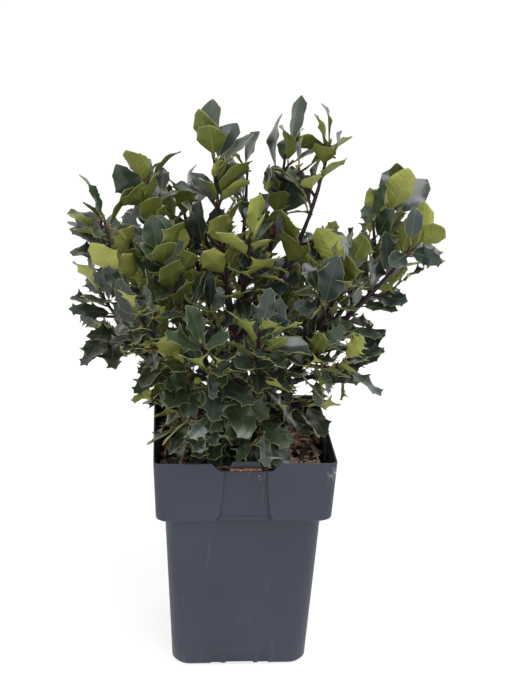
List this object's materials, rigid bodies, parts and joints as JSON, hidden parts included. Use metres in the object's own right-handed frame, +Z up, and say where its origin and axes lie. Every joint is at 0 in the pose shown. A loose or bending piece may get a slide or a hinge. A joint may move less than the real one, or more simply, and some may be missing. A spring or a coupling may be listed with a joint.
{
  "type": "potted blue holly shrub",
  "caption": "Young evergreen holly shrub with spiny glossy leaves on dark ascending stems, standing in a square collared nursery pot filled with bark compost.",
  "frame": {"origin": "middle of the pot's flat underside", "axes": "+Z up along the pot's axis and the plant's height, -Y towards the front that the picture shows, +X to the right of someone who looks at that front"},
  "size_m": [0.3053, 0.2326, 0.479],
  "materials": {
    "pot": "moulded dark blue-grey plastic, slightly scuffed",
    "compost": "moist bark chips and composted bark",
    "bark": "dark purple-brown young bark",
    "foliage": "glossy blue-green above, matt olive below"
  },
  "bodies": {
    "root": {"pot": "pot", "root_ball": "compost", "trunk": "bark", "bough_back_centre": "bark", "bough_back_left": "bark", "bough_back_right": "bark", "bough_back_top": "bark", "bough_centre": "bark", "bough_far_left": "bark", "bough_far_right_top": "bark", "bough_front_centre": "bark", "bough_front_left": "bark", "bough_front_right": "bark", "bough_high_left": "bark", "bough_high_right": "bark", "bough_inner_left": "bark", "bough_inner_right": "bark", "bough_low_left": "bark", "bough_low_right": "bark", "bough_mid_left": "bark", "bough_mid_right": "bark", "bough_outer_right": "bark", "bough_shoulder_left": "bark", "bough_top_left": "bark", "bough_top_right": "bark", "foliage_back_centre": "foliage", "foliage_back_left": "foliage", "foliage_back_low_left": "foliage", "foliage_back_low_right": "foliage", "foliage_back_right": "foliage", "foliage_back_top": "foliage", "foliage_bottom_left": "foliage", "foliage_bottom_right": "foliage", "foliage_centre": "foliage", "foliage_core_left": "foliage", "foliage_core_right": "foliage", "foliage_far_left": "foliage", "foliage_far_right_top": "foliage", "foliage_front_centre": "foliage", "foliage_front_left": "foliage", "foliage_front_low_left": "foliage", "foliage_front_low_right": "foliage", "foliage_front_right": "foliage", "foliage_high_left": "foliage", "foliage_high_right": "foliage", "foliage_inner_left": "foliage", "foliage_inner_right": "foliage", "foliage_low_left": "foliage", "foliage_low_right": "foliage", "foliage_mid_left": "foliage", "foliage_mid_right": "foliage", "foliage_outer_right": "foliage", "foliage_shoulder_left": "foliage", "foliage_top_left": "foliage", "foliage_top_right": "foliage"}
  },
  "joints": []
}
